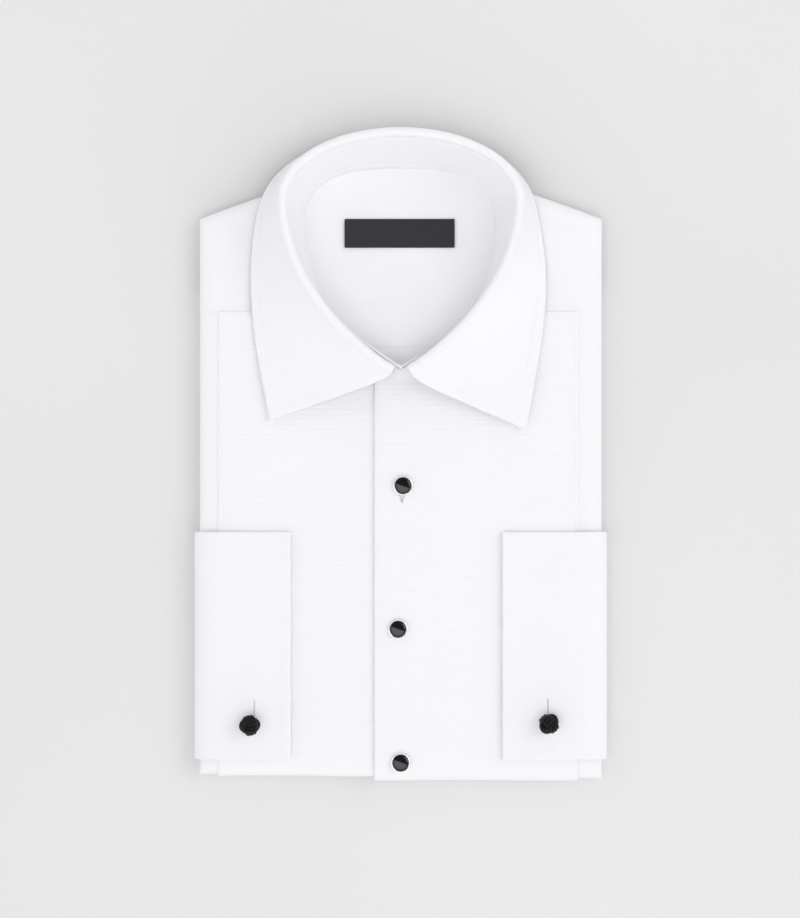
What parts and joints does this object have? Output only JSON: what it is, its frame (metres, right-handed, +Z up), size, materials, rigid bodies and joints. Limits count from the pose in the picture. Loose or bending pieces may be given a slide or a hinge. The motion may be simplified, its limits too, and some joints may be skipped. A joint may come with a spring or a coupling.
{
  "type": "folded long sleeve dress shirt",
  "caption": "White dress shirt folded flat, front up, with a pleated bib, standing spread collar and double cuffs brought onto the front, fastened with studs and silk knots.",
  "frame": {"origin": "centre of the bounding box on the surface that the shirt lies on", "axes": "+X towards the wearer's left, +Y from the bottom fold to the collar, +Z up off the surface"},
  "size_m": [0.2406, 0.3776, 0.0508],
  "materials": {
    "white_cotton": "pressed cotton poplin",
    "pleated_cotton": "narrow pressed pleats across",
    "black_label": "plain woven label, bare",
    "silver": "polished",
    "black_gloss": "polished black inlay",
    "black_cord": "knotted silk cord"
  },
  "bodies": {
    "root": {"hidden_layers": "white_cotton", "front_right": "white_cotton", "front_left": "white_cotton", "bib_right": "pleated_cotton", "bib_left": "pleated_cotton", "yoke": "white_cotton", "yoke_lining": "white_cotton", "back": "white_cotton", "back_inside": "white_cotton", "label": "black_label", "collar_stand": "white_cotton", "collar_fall": "white_cotton", "sleeve_right_head": "white_cotton", "sleeve_left_head": "white_cotton", "sleeve_right_wrist": "white_cotton", "sleeve_left_wrist": "white_cotton", "cuff_right": "white_cotton", "cuff_left": "white_cotton", "stud_1": "silver", "stud_2": "silver", "stud_3": "silver", "stud_1_inlay": "black_gloss", "stud_2_inlay": "black_gloss", "stud_3_inlay": "black_gloss", "link_right_knot": "black_cord", "link_left_knot": "black_cord", "link_right_inner": "black_cord", "link_left_inner": "black_cord"}
  },
  "joints": []
}
